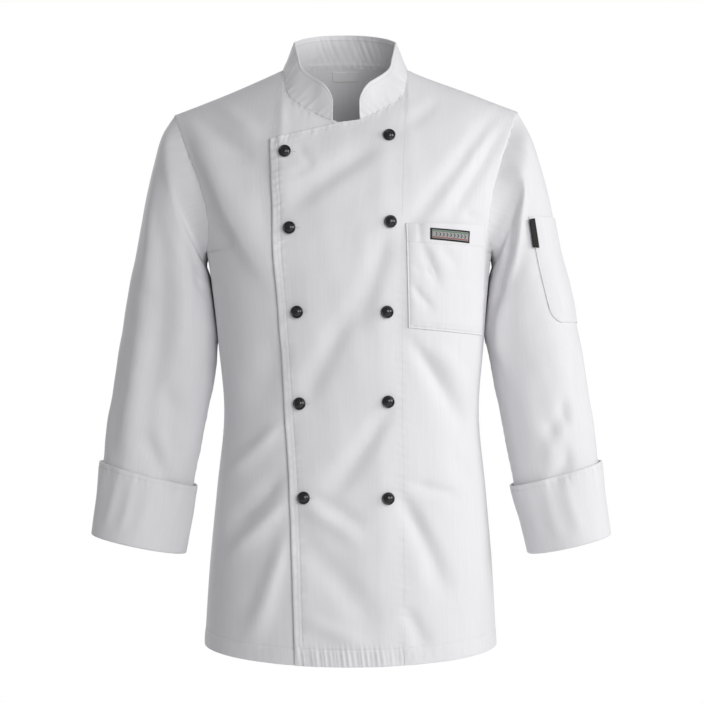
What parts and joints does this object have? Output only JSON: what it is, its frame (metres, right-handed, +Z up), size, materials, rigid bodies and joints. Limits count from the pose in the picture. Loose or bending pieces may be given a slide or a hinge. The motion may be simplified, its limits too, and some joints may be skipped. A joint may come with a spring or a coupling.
{
  "type": "chef jacket",
  "caption": "Long-sleeved double-breasted chef jacket with stand collar, turned-back cuffs, chest and sleeve pockets, filled out as if worn.",
  "frame": {"origin": "on the jacket's centre line, level with the shoulder seams' inner ends, where the wearer's shoulders carry it", "axes": "+Z up, -Y to the front of the jacket, +X to the wearer's left"},
  "size_m": [0.6511, 0.2627, 0.7867],
  "materials": {
    "white_twill": "matte white polycotton twill with a slight sheen",
    "white_satin": "smooth white woven label",
    "black_plastic": "glossy black, domed",
    "black_ribbon": "matte black ribbon",
    "label_weave": "woven label, pale field in a black border"
  },
  "bodies": {
    "root": {"back": "white_twill", "button_left_1": "black_plastic", "button_left_2": "black_plastic", "button_left_3": "black_plastic", "button_left_4": "black_plastic", "button_left_5": "black_plastic", "button_right_1": "black_plastic", "button_right_2": "black_plastic", "button_right_3": "black_plastic", "button_right_4": "black_plastic", "button_right_5": "black_plastic", "chest_label": "label_weave", "chest_pocket": "white_twill", "collar": "white_twill", "cuff_left": "white_twill", "cuff_right": "white_twill", "front_left_centre": "white_twill", "front_left_side": "white_twill", "front_right_centre": "white_twill", "front_right_side_low": "white_twill", "front_right_side_top": "white_twill", "neck_label": "white_satin", "sleeve_left_low": "white_twill", "sleeve_left_top": "white_twill", "sleeve_pocket": "white_twill", "sleeve_right_low": "white_twill", "sleeve_right_top": "white_twill", "sleeve_tab": "black_ribbon"}
  },
  "joints": []
}
